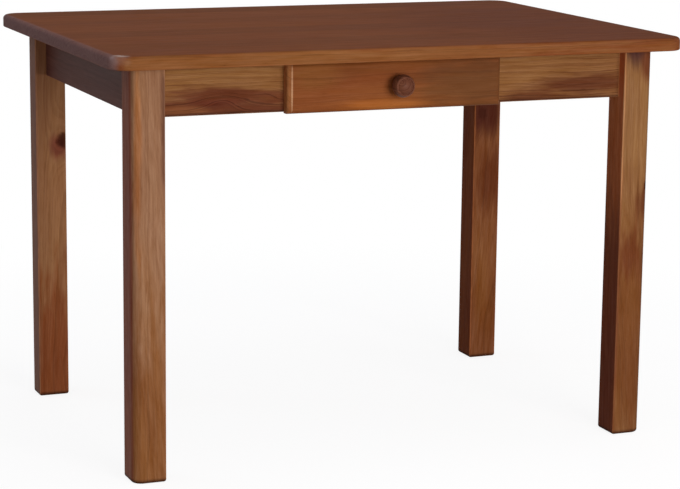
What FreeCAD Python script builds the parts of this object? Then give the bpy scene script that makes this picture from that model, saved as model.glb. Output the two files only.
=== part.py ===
"""Tavern table: an edge-glued pine top on four square legs, with one drawer in the front apron.

Millimetres. The origin is on the floor under the middle of the tabletop, X runs along the long side,
the drawer front faces -Y and Z is up. Each node is written to parts/ as a STEP file of its own.
"""

import FreeCAD
import Part
import math
import os
import re
import Sketcher
from FreeCAD import Placement, Rotation, Vector

# ---------------------------------------------------------------- driving dimensions
SIZES = {
    # the whole table
    "table_length": 1100,
    "table_depth": 790,
    "table_height": 760,
    # tabletop
    "top_thickness": 24,
    "top_boards": 8,
    "top_overhang": 45,
    "top_corner": 40,
    "top_upper_round": 8,
    "top_lower_round": 3,
    # legs
    "leg_width": 60,
    "leg_round": 19,
    "leg_arris": 3,
    "leg_flat": 12,
    "leg_foot": 5,
    # aprons
    "apron_height": 90,
    "apron_thickness": 22,
    "apron_setback": 22,
    "apron_arris": 1.5,
    # dowels between the aprons and the legs
    "dowel_diameter": 10,
    "dowel_apron_depth": 28,
    "dowel_wall": 4,
    "dowel_edge": 20,
    # room around fasteners and beyond their ends
    "fit_gap": 0.1,
    "bore_end": 1,
    # corner blocks and hanger bolts
    "block_gap": 4,
    "block_thickness": 28,
    "block_height": 60,
    "bolt_diameter": 8,
    "bolt_leg_depth": 32,
    "bolt_point": 6,
    "bolt_tip": 2,
    "bolt_end": 6,
    "bolt_spacing": 24,
    "washer_diameter": 20,
    "washer_thickness": 1.6,
    "nut_width": 13,
    "nut_height": 6.5,
    # screws and nails
    "screw_diameter": 4,
    "screw_head": 8,
    "screw_head_depth": 2.4,
    "screw_access": 9,
    "screw_cover": 6,
    "top_screw_cover": 9,
    "block_screw_seat": 10,
    "block_screw_spacing": 32,
    "block_screw_inset": 14,
    "runner_screw_bite": 24,
    "nail_diameter": 2.5,
    "nail_length": 26,
    # wooden buttons that hold the top
    "button_length": 32,
    "button_width": 28,
    "button_height": 22,
    "button_gap": 0.3,
    "tongue_length": 8,
    "tongue_height": 9.5,
    "slot_depth": 10,
    "slot_play": 2,
    # window in the front apron
    "drawer_centre": -15,
    "window_width": 378,
    "window_floor": 15,
    # runners, guides and kickers
    "kicker_height": 15,
    "runner_width": 30,
    "guide_thickness": 14,
    "guide_height": 40,
    # drawer front
    "front_thickness": 22,
    "front_round": 10,
    "front_overlap": 17,
    "front_drop": 2,
    "front_top_gap": 2,
    "front_gap": 0.5,
    # drawer box
    "box_depth": 420,
    "box_wall": 12,
    "box_arris": 1.5,
    "box_side_gap": 1.5,
    "box_lift": 0.3,
    "box_headroom": 2.5,
    "rabbet_depth": 5,
    "groove_height": 8,
    "groove_depth": 5,
    "groove_gap": 0.1,
    "bottom_thickness": 5,
    "bottom_gap": 0.3,
    "front_screw_reach": 120,
    "front_screw_edge": 10,
    "box_nail_edge": 12,
    # knob
    "knob_offset": 4,
    "knob_radius": 20.5,
    "knob_collar": 10,
    "knob_collar_depth": 1.5,
    "knob_neck_dip": 4,
    "knob_under": 13,
    "knob_stem": 13,
    "knob_back_round": 6,
    "knob_side": 12,
    "knob_taper": 3,
    "knob_bead": 3,
    "knob_bead_rise": 1.2,
    "knob_ring_width": 1.5,
    "knob_ring_dip": 0.5,
    "knob_dome": 5.5,
    "knob_bore": 15,
    "knob_screw_head": 2.8,
    "knob_screw_recess": 3.5,
}

# ---------------------------------------------------------------- sizes and places that follow from them
RELATIONS = {
    "board_width": "table_depth / top_boards",
    "leg_length": "table_height - top_thickness",
    "frame_x": "table_length / 2 - top_overhang",
    "frame_y": "table_depth / 2 - top_overhang",
    # aprons, across their thickness from the outer face of the legs
    "apron_low": "leg_length - apron_height",
    "apron_axis": "apron_setback + apron_thickness / 2",
    "apron_inner": "apron_setback + apron_thickness",
    "apron_face_y": "frame_y - apron_setback",
    "inner_x": "frame_x - apron_inner",
    "inner_y": "frame_y - apron_inner",
    "dowel_leg_depth": "leg_width - apron_axis - dowel_diameter / 2 - dowel_wall",
    "dowel_start": "leg_width - dowel_leg_depth",
    # A corner seen from above, measured from the outer corner of its leg: x plus y is the same all along
    # a line that crosses the corner at 45 degrees.
    "flat_sum": "2 * leg_width - leg_flat",
    "block_start": "flat_sum + block_gap * sqrt(2)",
    "block_stop": "block_start + block_thickness * sqrt(2)",
    "block_reach": "block_stop - apron_inner",
    "block_low": "apron_low + (apron_height - block_height) / 2",
    "block_middle": "apron_low + apron_height / 2",
    "block_screw_length": "block_screw_seat + apron_thickness - screw_cover",
    "block_screw_place": "block_reach - block_screw_inset",
    "bolt_start": "flat_sum / 2 - bolt_leg_depth / sqrt(2)",
    "bolt_length": "bolt_leg_depth + block_gap + block_thickness + washer_thickness + nut_height + bolt_end",
    "washer_start": "block_stop / 2",
    "nut_start": "washer_start + washer_thickness / sqrt(2)",
    # buttons, inwards from the inner face of an apron and down from the underside of the top
    "button_hole": "button_length * 5 / 8",
    "button_screw": "button_height + top_thickness - top_screw_cover",
    "slot_height": "tongue_height + 2 * button_gap",
    # drawer window
    "window_left": "drawer_centre - window_width / 2",
    "window_right": "drawer_centre + window_width / 2",
    "window_low": "apron_low + window_floor",
    "window_high": "leg_length - kicker_height",
    "runner_screw": "apron_thickness + runner_screw_bite",
    "kicker_screw": "kicker_height + top_thickness - top_screw_cover",
    # drawer front
    "front_width": "window_width + 2 * front_overlap",
    "front_low": "apron_low - front_drop",
    "front_high": "leg_length - front_top_gap",
    "front_back": "apron_face_y + front_gap",
    "front_face": "front_back + front_thickness",
    "front_middle": "(front_low + front_high) / 2",
    "front_screw": "box_wall + front_thickness - screw_cover",
    # drawer box
    "box_width": "window_width - 2 * box_side_gap",
    "box_inside": "box_width - 2 * box_wall",
    "box_low": "window_low + box_lift",
    "box_high": "window_high - box_headroom",
    "box_height": "box_high - box_low",
    "box_start": "-front_back",
    "box_stop": "box_start + box_depth",
    "box_inner": "box_start + box_wall",
    "panel_width": "box_inside + 2 * rabbet_depth",
    "panel_left": "drawer_centre - panel_width / 2",
    "groove_low": "box_low + groove_height",
    "groove_width": "bottom_thickness + 2 * groove_gap",
    "bottom_low": "groove_low + groove_gap",
    "back_low": "bottom_low + bottom_thickness",
    # knob, along its axis from the drawer front; the radius of an arc follows from its chord and its rise
    "knob_centre": "drawer_centre + knob_offset",
    "knob_widest": "knob_stem + knob_back_round",
    "knob_face": "knob_widest + knob_side",
    "knob_length": "knob_face + knob_dome",
    "knob_shoulder": "knob_radius - knob_taper",
    "knob_side_round": "(knob_side ^ 2 + knob_taper ^ 2) / (2 * knob_taper)",
    "knob_bead_round": "(knob_bead ^ 2 / 4 + knob_bead_rise ^ 2) / (2 * knob_bead_rise)",
    "knob_ring_edge": "knob_shoulder - knob_bead",
    "knob_ring": "knob_ring_edge - knob_ring_width",
    "knob_ring_round": "(knob_ring_width ^ 2 / 4 + knob_ring_dip ^ 2) / (2 * knob_ring_dip)",
    "knob_dome_round": "(knob_ring ^ 2 + knob_dome ^ 2) / (2 * knob_dome)",
    "knob_neck_chord": "sqrt((knob_under - knob_collar) ^ 2 + (knob_stem - knob_collar_depth) ^ 2)",
    "knob_neck_round": "(knob_neck_chord ^ 2 / 4 + knob_neck_dip ^ 2) / (2 * knob_neck_dip)",
    "knob_screw_start": "box_inner - knob_screw_recess",
    "knob_screw_length": "box_wall - knob_screw_recess + front_thickness + knob_bore - bore_end",
}

doc = FreeCAD.newDocument("tavern_table")
sheet = doc.addObject("Spreadsheet::Sheet", "Sizes")
for row, (size, number) in enumerate(SIZES.items(), start=1):
    sheet.set(f"A{row}", size)
    sheet.set(f"B{row}", str(number))
    sheet.setAlias(f"B{row}", size)
doc.recompute()


def written_out(text, cell):
    """The expression with every relation written out, and every size replaced by cell(size)."""

    def swap(found):
        word = found.group()
        if word in RELATIONS:
            return "(" + written_out(RELATIONS[word], cell) + ")"
        return cell(word) if word in SIZES else word

    return re.sub(r"[a-z]+(?:_[a-z]+)*", swap, text)


def formula(text):
    """The expression as the document's objects hold it, with its sizes in the sheet."""
    return written_out(text, lambda size: f"Sizes.{size}")


def number_of(text):
    """The expression's value, which a sketch takes as its first guess."""
    return FreeCAD.Units.Quantity(written_out(text, lambda size: f"({SIZES[size]})")).Value


# ---------------------------------------------------------------- simple solids
UP, FORWARD, BACKWARD = (0, 0, 1), (0, -1, 0), (0, 1, 0)
NEAR = 0.01


def place(thing, at, turn=None):
    """Binds where the thing's own origin lies, and turns it."""
    if turn is not None:
        thing.Placement = Placement(Vector(), turn)
    for axis, text in zip("xyz", at):
        thing.setExpression(f"Placement.Base.{axis}", formula(text))
    return thing


def about_z(angle):
    return Rotation(Vector(*UP), angle)


def along(direction):
    return Rotation(Vector(*UP), Vector(*direction))


def box(name, size, at):
    made = doc.addObject("Part::Box", name)
    for side, text in zip(("Length", "Width", "Height"), size):
        made.setExpression(side, formula(text))
    return place(made, at)


def rod(name, radius, length, at, direction):
    made = doc.addObject("Part::Cylinder", name)
    made.setExpression("Radius", formula(radius))
    made.setExpression("Height", formula(length))
    return place(made, at, along(direction))


def taper(name, first_radius, last_radius, length, at, direction):
    made = doc.addObject("Part::Cone", name)
    made.setExpression("Radius1", formula(first_radius))
    made.setExpression("Radius2", formula(last_radius))
    made.setExpression("Height", formula(length))
    return place(made, at, along(direction))


def fuse(name, things):
    made = doc.addObject("Part::MultiFuse", name)
    made.Shapes = things
    made.Refine = True
    return made


def group(name, things):
    made = doc.addObject("Part::Compound", name)
    made.Links = things
    return made


def cut(name, base, tools):
    """The base less all the tools."""
    made = doc.addObject("Part::Cut", name)
    made.Base = base
    made.Tool = group(f"{name}_tools", tools)
    return made


# ---------------------------------------------------------------- sketched solids
def body(name):
    return doc.addObject("PartDesign::Body", name)


def sketch(owner, plane, outlines):
    """A sketch on one of the body's origin planes. An outline is a list of points (x, y) joined by lines;
    a third value is the radius of the arc to the next point, positive where it turns left."""
    made = owner.newObject("Sketcher::SketchObject", f"{owner.Name}_sketch")
    support = next(feature for feature in owner.Origin.OriginFeatures if feature.Role == plane)
    made.AttachmentSupport = (support, [""])
    made.MapMode = "FlatFace"
    for outline in outlines:
        draw(made, outline)
    return made


def draw(made, outline):
    """Adds a closed outline to a sketch, and binds each of its points and radii."""
    corners = [Vector(number_of(point[0]), number_of(point[1]), 0) for point in outline]
    ends = []
    for index, point in enumerate(outline):
        start, stop = corners[index], corners[(index + 1) % len(corners)]
        if len(point) == 2:
            edge = made.addGeometry(Part.LineSegment(start, stop))
            ends.append((edge, 1, 2))
            continue
        bend = number_of(point[2])
        edge = made.addGeometry(arc(start, stop, bend))
        to_first, to_second = (made.getPoint(edge, end).distanceToPoint(start) for end in (1, 2))
        ends.append((edge, 1, 2) if to_first < to_second else (edge, 2, 1))
        radius = made.addConstraint(Sketcher.Constraint("Radius", edge, abs(bend)))
        made.setExpression(f"Constraints[{radius}]", formula(f"abs({point[2]})"))
    for index, (edge, first, last) in enumerate(ends):
        following, beginning, _ = ends[(index + 1) % len(ends)]
        made.addConstraint(Sketcher.Constraint("Coincident", edge, last, following, beginning))
        for kind, text in zip(("DistanceX", "DistanceY"), outline[index]):
            held = made.addConstraint(Sketcher.Constraint(kind, -1, 1, edge, first, number_of(text)))
            made.setExpression(f"Constraints[{held}]", formula(text))


def arc(start, stop, bend):
    chord = stop - start
    half = chord.Length / 2
    rise = abs(bend) - math.sqrt(bend * bend - half * half)
    side = Vector(chord.y, -chord.x, 0).normalize() * math.copysign(rise, bend)
    return Part.ArcOfCircle(start, (start + stop) / 2 + side, stop)


def rectangle(left, right, low, high):
    return [(left, low), (right, low), (right, high), (left, high)]


def pad(owner, plane, outlines, length):
    """A sketch on the XZ plane is padded towards -Y, on the YZ plane towards +X, on the XY plane up."""
    made = owner.newObject("PartDesign::Pad", f"{owner.Name}_pad")
    made.Profile = sketch(owner, plane, outlines)
    made.setExpression("Length", formula(length))
    owner.Tip = made
    return owner


def round_off(owner, radius, chosen):
    """A Fillet on the body's edges for which chosen(edge's box, body's box) is true."""
    doc.recompute()
    base = owner.Tip
    edges = enumerate(base.Shape.Edges, start=1)
    names = [f"Edge{count}" for count, edge in edges if chosen(edge.BoundBox, base.Shape.BoundBox)]
    if not names:
        raise RuntimeError(f"{owner.Name}: no edge to round with {radius}")
    made = owner.newObject("PartDesign::Fillet", f"{owner.Name}_fillet")
    made.Base = (base, names)
    made.setExpression("Radius", formula(radius))
    owner.Tip = made
    return owner


def upright(edge):
    return edge.XLength < NEAR and edge.YLength < NEAR


def lies_at(edge, axis, level):
    """True if the whole edge lies at that level of the axis."""
    return all(abs(getattr(edge, axis + end) - level) < NEAR for end in ("Min", "Max"))


def runs_along(edge, whole):
    """True if the edge is as long as the board."""
    return max(edge.XLength, edge.YLength) > max(whole.XLength, whole.YLength) - NEAR


# ---------------------------------------------------------------- screws and nails
# Each goes from a point, which is the middle of its head's flat face, in a direction.
def screw(name, length, at, direction):
    shank = rod(f"{name}_shank", "screw_diameter / 2", length, at, direction)
    head = taper(f"{name}_head", "screw_head / 2", "screw_diameter / 2", "screw_head_depth", at, direction)
    return fuse(name, [shank, head])


def screw_hole(name, length, at, direction):
    wide, narrow = "screw_head / 2 + fit_gap", "screw_diameter / 2 + fit_gap"
    shank = rod(f"{name}_shank", narrow, f"{length} + bore_end", at, direction)
    return group(name, [shank, taper(f"{name}_sink", wide, narrow, "screw_head_depth", at, direction)])


def nail(name, at, direction):
    return rod(name, "nail_diameter / 2", "nail_length", at, direction)


def nail_hole(name, at, direction):
    return rod(name, "nail_diameter / 2 + fit_gap", "nail_length + bore_end", at, direction)


nodes = []


def node(thing):
    """Marks a finished sub-part. Its label is the name of its file."""
    nodes.append(thing)
    return thing


# ---------------------------------------------------------------- corners
# Each leg and what joins it to its two aprons is the same design, turned. In a corner's own frame the
# origin is the leg's outer corner on the floor, and the two aprons run along +X and +Y.
CORNERS = {
    "front_left": (-1, -1, 0),
    "front_right": (1, -1, 90),
    "back_right": (1, 1, 180),
    "back_left": (-1, 1, 270),
}
ALONG_X, ALONG_Y, DIAGONAL = (1, 0, 0), (0, 1, 0), (1, 1, 0)
DOWEL_LEVELS = ("apron_low + dowel_edge", "leg_length - dowel_edge")
BOLT_LEVELS = ("block_middle - bolt_spacing / 2", "block_middle + bolt_spacing / 2")
BLOCK_SCREW_LEVELS = ("block_middle - block_screw_spacing / 2", "block_middle + block_screw_spacing / 2")


def to_corner(thing, corner, height="0"):
    side_x, side_y, angle = CORNERS[corner]
    return place(thing, (f"{side_x} * frame_x", f"{side_y} * frame_y", height), about_z(angle))


def corner_dowels(corner, radius, room):
    """The four dowels of a corner, or the bores for them."""
    length = f"dowel_leg_depth + dowel_apron_depth + 2 * {room}"
    start = f"dowel_start - {room}"
    made = []
    for level in DOWEL_LEVELS:
        made.append(rod(f"{corner}_dowel", radius, length, (start, "apron_axis", level), ALONG_X))
        made.append(rod(f"{corner}_dowel", radius, length, ("apron_axis", start, level), ALONG_Y))
    return made


def corner_bolts(corner):
    """Hanger bolts: a wood-screw point in the leg and a plain shank through the block."""
    shoulder = "bolt_start + bolt_point / sqrt(2)"
    made = []
    for level in BOLT_LEVELS:
        tip = ("bolt_start", "bolt_start", level)
        point = taper(f"{corner}_point", "bolt_tip", "bolt_diameter / 2", "bolt_point", tip, DIAGONAL)
        shank_at = (shoulder, shoulder, level)
        shank = rod(f"{corner}_shank", "bolt_diameter / 2", "bolt_length - bolt_point", shank_at, DIAGONAL)
        made.append(fuse(f"{corner}_bolt", [point, shank]))
    return made


def bolt_bores(corner):
    start = "bolt_start - bore_end / sqrt(2)"
    size = ("bolt_diameter / 2 + fit_gap", "bolt_length + bore_end")
    return [rod(f"{corner}_bolt_bore", *size, (start, start, level), DIAGONAL) for level in BOLT_LEVELS]


def on_bolts(corner, outline, thickness, start):
    """A washer or nut on each bolt: outline(seat) makes its solid, less the bolt's hole."""
    made = []
    for level in BOLT_LEVELS:
        seat = (start, start, level)
        eye = rod(f"{corner}_eye", "bolt_diameter / 2 + fit_gap", thickness, seat, DIAGONAL)
        made.append(cut(f"{corner}_ring", outline(seat), [eye]))
    return made


def washer_disc(seat):
    return rod("washer_disc", "washer_diameter / 2", "washer_thickness", seat, DIAGONAL)


def nut_hexagon(seat):
    made = doc.addObject("Part::Prism", "nut_hexagon")
    made.Polygon = 6
    made.setExpression("Circumradius", formula("nut_width / sqrt(3)"))
    made.setExpression("Height", formula("nut_height"))
    return place(made, seat, along(DIAGONAL))


def block_screw_seats():
    """Where the four screws of a corner block start, and which way they go into the aprons."""
    for level in BLOCK_SCREW_LEVELS:
        yield ("block_screw_place", "apron_inner + block_screw_seat", level), (0, -1, 0)
        yield ("apron_inner + block_screw_seat", "block_screw_place", level), (-1, 0, 0)


def block_screw_bores(corner):
    """Holes for the screws, and wider ones behind their heads for the driver."""
    made = []
    for at, direction in block_screw_seats():
        made.append(screw_hole(f"{corner}_hole", "block_screw_length", at, direction))
        outward = tuple(-part for part in direction)
        made.append(rod(f"{corner}_access", "screw_access / 2", "block_thickness + block_gap", at, outward))
    return made


LEG_PLAN = rectangle("0", "leg_width", "0", "leg_width")
# What the flat for the hanger bolts takes off the inner corner of a leg, as high as the aprons.
FLAT_PLAN = [
    ("leg_width + leg_flat", "leg_width - 2 * leg_flat"),
    ("leg_width + leg_flat", "leg_width + leg_flat"),
    ("leg_width - 2 * leg_flat", "leg_width + leg_flat"),
]
BLOCK_PLAN = [
    ("block_start - apron_inner", "apron_inner"),
    ("block_reach", "apron_inner"),
    ("apron_inner", "block_reach"),
    ("apron_inner", "block_start - apron_inner"),
]


def outer_corner(edge, whole):
    return upright(edge) and edge.XMin + edge.YMin < NEAR


def other_corners(edge, whole):
    return upright(edge) and max(edge.XMin, edge.YMin) > whole.XMax - NEAR


def foot_edges(edge, whole):
    return lies_at(edge, "Z", whole.ZMin)


corner_bores = {}
fasteners = {"apron_dowels": [], "hanger_bolts": [], "bolt_washers": [], "bolt_nuts": [], "block_screws": []}
for corner in CORNERS:
    bores = corner_dowels(corner, "dowel_diameter / 2 + fit_gap", "bore_end")
    bores += bolt_bores(corner) + block_screw_bores(corner)
    corner_bores[corner] = to_corner(group(f"{corner}_bores", bores), corner)

    leg = pad(body(f"{corner}_leg_blank"), "XY_Plane", [LEG_PLAN], "leg_length")
    round_off(leg, "leg_round", outer_corner)
    round_off(leg, "leg_arris", other_corners)
    round_off(leg, "leg_foot", foot_edges)
    flat = to_corner(pad(body(f"{corner}_flat"), "XY_Plane", [FLAT_PLAN], "apron_height"), corner, "apron_low")
    node(cut(f"leg_{corner}", to_corner(leg, corner), [flat, corner_bores[corner]]))

    block = pad(body(f"{corner}_block_blank"), "XY_Plane", [BLOCK_PLAN], "block_height")
    node(cut(f"corner_block_{corner}", to_corner(block, corner, "block_low"), [corner_bores[corner]]))

    screws = [screw(f"{corner}_screw", "block_screw_length", *seat) for seat in block_screw_seats()]
    for kind, made in (
        ("apron_dowels", corner_dowels(corner, "dowel_diameter / 2", "0")),
        ("hanger_bolts", corner_bolts(corner)),
        ("bolt_washers", on_bolts(corner, washer_disc, "washer_thickness", "washer_start")),
        ("bolt_nuts", on_bolts(corner, nut_hexagon, "nut_height", "nut_start")),
        ("block_screws", screws),
    ):
        fasteners[kind].append(to_corner(group(f"{corner}_{kind}", made), corner))
for kind, made in fasteners.items():
    node(group(kind, made))

# ---------------------------------------------------------------- wooden buttons under the top
# Where the middle of each button meets the inner face of its apron, and how it is turned to face inwards.
BUTTONS = {
    "left_near": ("-inner_x", "-3 / 2 * board_width", 0),
    "left_far": ("-inner_x", "3 / 2 * board_width", 0),
    "right_near": ("inner_x", "-3 / 2 * board_width", 180),
    "right_far": ("inner_x", "3 / 2 * board_width", 180),
    "front_left": ("(window_left - guide_thickness - frame_x + block_reach) / 2", "-inner_y", 90),
    "front_right": ("(window_right + guide_thickness + frame_x - block_reach) / 2", "-inner_y", 90),
    "back_left": ("-3 / 4 * (frame_x - block_reach)", "inner_y", 270),
    "back_middle": ("0", "inner_y", 270),
    "back_right": ("3 / 4 * (frame_x - block_reach)", "inner_y", 270),
}


def to_button(name, thing):
    across, deep, angle = BUTTONS[name]
    return place(group(f"{name}_placed", [thing]), (across, deep, "leg_length"), about_z(angle))


def button_blank():
    """A block with a tongue along its lower edge, which reaches into the slot of the apron."""
    size = ("button_length - button_gap", "button_width", "button_height")
    head = box("button_head", size, ("button_gap", "-button_width / 2", "-button_height"))
    size = ("tongue_length + button_length", "button_width", "tongue_height")
    tongue = box("button_tongue", size, ("-tongue_length", "-button_width / 2", "-button_height"))
    return fuse("button_blank", [head, tongue])


button_slots = {}
button_holes, buttons, button_screws = [], [], []
slot_size = ("slot_depth", "button_width + 2 * slot_play", "slot_height")
slot_at = ("-slot_depth", "-button_width / 2 - slot_play", "-button_height - button_gap")
for name in BUTTONS:
    slot = box("slot", slot_size, slot_at)
    button_slots[name] = to_button(name, slot)
    seat = ("button_hole", "0", "-button_height")
    hole = screw_hole("button_hole", "button_screw", seat, UP)
    button_holes.append(to_button(name, hole))
    buttons.append(to_button(name, cut("button", button_blank(), [hole])))
    button_screws.append(to_button(name, screw("button_screw", "button_screw", seat, UP)))
node(group("top_buttons", buttons))
node(group("top_button_screws", button_screws))

# ---------------------------------------------------------------- runners, guides and kickers
# One of each runs from the front apron to the back apron on either side of the drawer: the runner under
# its side, the guide beside it on the runner, and the kicker over it against the top.
SIDES = {"left": ("window_left", -1), "right": ("window_right", 1)}
KICKER_SCREW_PLACES = ("-5 / 2 * board_width", "-1 / 2 * board_width", "5 / 2 * board_width")


def strip(name, side, width, height, low):
    """A strip between the aprons whose outer face is a guide's thickness outside the window."""
    edge, sign = SIDES[side]
    left = f"{edge} - guide_thickness" if sign < 0 else f"{edge} + guide_thickness - {width}"
    return box(f"{name}_blank", (width, "2 * inner_y", height), (left, "-inner_y", low))


runner_screws, runner_holes, kicker_screws, kicker_holes = [], [], [], []
for edge, sign in SIDES.values():
    guide_axis = f"{edge} + {sign} * guide_thickness / 2"
    for level in ("apron_low + window_floor / 2", "window_low + guide_height / 2"):
        for face, direction in (("-apron_face_y", BACKWARD), ("apron_face_y", FORWARD)):
            at = (guide_axis, face, level)
            runner_screws.append(screw("runner_screw", "runner_screw", at, direction))
            runner_holes.append(screw_hole("runner_hole", "runner_screw", at, direction))
    kicker_axis = f"{edge} + {sign} * (guide_thickness - runner_width / 2)"
    for deep in KICKER_SCREW_PLACES:
        at = (kicker_axis, deep, "window_high")
        kicker_screws.append(screw("kicker_screw", "kicker_screw", at, UP))
        kicker_holes.append(screw_hole("kicker_hole", "kicker_screw", at, UP))
runner_bores = group("runner_bores", runner_holes)
kicker_bores = group("kicker_bores", kicker_holes)

for side in SIDES:
    for kind, width, height, low, bores in (
        ("runner", "runner_width", "window_floor", "apron_low", runner_bores),
        ("guide", "guide_thickness", "guide_height", "window_low", runner_bores),
        ("kicker", "runner_width", "kicker_height", "window_high", kicker_bores),
    ):
        name = f"drawer_{kind}_{side}"
        node(cut(name, strip(name, side, width, height, low), [bores]))
node(group("runner_screws", runner_screws))
node(group("kicker_screws", kicker_screws))


# ---------------------------------------------------------------- aprons
def lower_arrises(edge, whole):
    return lies_at(edge, "Z", whole.ZMin) and runs_along(edge, whole)


def apron(side, plane, half_length, at, windows=()):
    """A board on edge between two legs, with slots for its buttons and bores for all that enters it."""
    outline = rectangle(f"-{half_length}", half_length, "apron_low", "leg_length")
    blank = pad(body(f"{side}_apron_blank"), plane, [outline, *windows], "apron_thickness")
    round_off(blank, "apron_arris", lower_arrises)
    bores = [slot for name, slot in button_slots.items() if name.startswith(side)]
    bores += [bore for corner, bore in corner_bores.items() if side in corner]
    if plane == "XZ_Plane":
        bores.append(runner_bores)
    node(cut(f"apron_{side}", place(blank, at), bores))


window = rectangle("window_left", "window_right", "window_low", "window_high")
apron("front", "XZ_Plane", "(frame_x - leg_width)", ("0", "-inner_y", "0"), [window])
apron("back", "XZ_Plane", "(frame_x - leg_width)", ("0", "apron_face_y", "0"))
apron("left", "YZ_Plane", "(frame_y - leg_width)", ("apron_setback - frame_x", "0", "0"))
apron("right", "YZ_Plane", "(frame_y - leg_width)", ("inner_x", "0", "0"))

# ---------------------------------------------------------------- tabletop
# The boards are glued up edge to edge, and the panel is then cut to size, rounded and drilled as one.
panel_plan = rectangle("-table_length / 2", "table_length / 2", "-table_depth / 2", "table_depth / 2")
panel = pad(body("top_panel"), "XY_Plane", [panel_plan], "top_thickness")
round_off(panel, "top_corner", lambda edge, whole: upright(edge))
round_off(panel, "top_upper_round", lambda edge, whole: lies_at(edge, "Z", whole.ZMax))
round_off(panel, "top_lower_round", lambda edge, whole: lies_at(edge, "Z", whole.ZMin))
drilled = cut("top_panel_drilled", place(panel, ("0", "0", "leg_length")), button_holes + [kicker_bores])
for count in range(SIZES["top_boards"]):
    slab_at = ("-table_length / 2", f"-table_depth / 2 + {count} * board_width", "leg_length")
    board = doc.addObject("Part::Common", f"tabletop_board_{count + 1}")
    board.Base = drilled
    board.Tool = box("board_slab", ("table_length", "board_width", "top_thickness"), slab_at)
    node(board)

# ---------------------------------------------------------------- drawer front and knob
front_screws, front_holes = [], []
for across in ("drawer_centre - front_screw_reach", "drawer_centre + front_screw_reach"):
    for level in ("back_low + front_screw_edge", "box_high - front_screw_edge"):
        at = (across, "box_inner", level)
        front_screws.append(screw("front_screw", "front_screw", at, FORWARD))
        front_holes.append(screw_hole("front_hole", "front_screw", at, FORWARD))

# The knob is held by a machine screw, whose round head lies in a recess of the box's inner front.
recess = ("screw_access / 2", "knob_screw_recess", ("knob_centre", "box_inner", "front_middle"), FORWARD)
screw_at = ("knob_centre", "knob_screw_start", "front_middle")
head_at = ("knob_centre", "knob_screw_start + knob_screw_head", "front_middle")
hole = ("screw_diameter / 2 + fit_gap", "knob_screw_length + bore_end", screw_at, FORWARD)
head = rod("knob_screw_top", "screw_head / 2", "knob_screw_head", head_at, FORWARD)
shank = rod("knob_screw_shank", "screw_diameter / 2", "knob_screw_length", screw_at, FORWARD)
front_bores = group("front_bores", front_holes + [rod("knob_recess", *recess), rod("knob_hole", *hole)])

front_outline = rectangle("-front_width / 2", "front_width / 2", "front_low", "front_high")
front = pad(body("front_blank"), "XZ_Plane", [front_outline], "front_thickness")
round_off(front, "front_round", lambda edge, whole: lies_at(edge, "Y", whole.YMin))
node(cut("drawer_front", place(front, ("drawer_centre", "-front_back", "0")), [front_bores]))

# The knob is turned, so it is half a section: distance from the axis, then distance from the drawer front.
KNOB_SECTION = [
    ("0", "0"),
    ("knob_collar", "0"),
    ("knob_collar", "knob_collar_depth", "-knob_neck_round"),
    ("knob_under", "knob_stem"),
    ("knob_radius - knob_back_round", "knob_stem", "knob_back_round"),
    ("knob_radius", "knob_widest", "knob_side_round"),
    ("knob_shoulder", "knob_face", "knob_bead_round"),
    ("knob_ring_edge", "knob_face", "-knob_ring_round"),
    ("knob_ring", "knob_face", "knob_dome_round"),
    ("0", "knob_length"),
]
knob = body("knob_blank")
turned = knob.newObject("PartDesign::Revolution", "knob_turned")
turned.Profile = sketch(knob, "XZ_Plane", [KNOB_SECTION])
turned.ReferenceAxis = (turned.Profile[0], ["V_Axis"])
turned.Angle = 360
knob.Tip = turned
place(knob, ("knob_centre", "-front_face", "front_middle"), along(FORWARD))
node(cut("drawer_knob", knob, [front_bores]))
node(fuse("knob_screw", [head, shank]))
node(group("front_screws", front_screws))

# ---------------------------------------------------------------- drawer box
# The front and back sit in rabbets of the sides and are nailed through them. The bottom slides into grooves
# from behind, under the back, and is nailed up into it.
LEFT_SIDE, RIGHT_SIDE = "drawer_centre - box_width / 2", "drawer_centre + box_width / 2"
BACK_PLACE = "box_stop - box_wall"
box_nails, box_nail_holes = [], []
for outer, direction in ((LEFT_SIDE, (1, 0, 0)), (RIGHT_SIDE, (-1, 0, 0))):
    for deep in ("box_start", BACK_PLACE):
        for level in ("back_low + box_nail_edge", "box_high - box_nail_edge"):
            at = (outer, f"{deep} + box_wall / 2", level)
            box_nails.append(nail("box_nail", at, direction))
            box_nail_holes.append(nail_hole("box_nail_hole", at, direction))
nail_bores = group("nail_bores", box_nail_holes)

bottom_nails, bottom_holes = [], []
for across in ("drawer_centre - box_inside / 3", "drawer_centre", "drawer_centre + box_inside / 3"):
    at = (across, f"{BACK_PLACE} + box_wall / 2", "bottom_low")
    bottom_nails.append(nail("bottom_nail", at, UP))
    bottom_holes.append(nail_hole("bottom_hole", at, UP))
bottom_bores = group("bottom_bores", bottom_holes)


def upper_arrises(edge, whole):
    return lies_at(edge, "Z", whole.ZMax) and runs_along(edge, whole)


def box_board(name, size, at):
    """A board of the drawer box with its two long upper arrises eased, from its lower left back corner."""
    width, length, height = size
    made = pad(body(f"{name}_blank"), "XZ_Plane", [rectangle("0", width, "0", height)], length)
    return place(round_off(made, "box_arris", upper_arrises), at)


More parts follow.
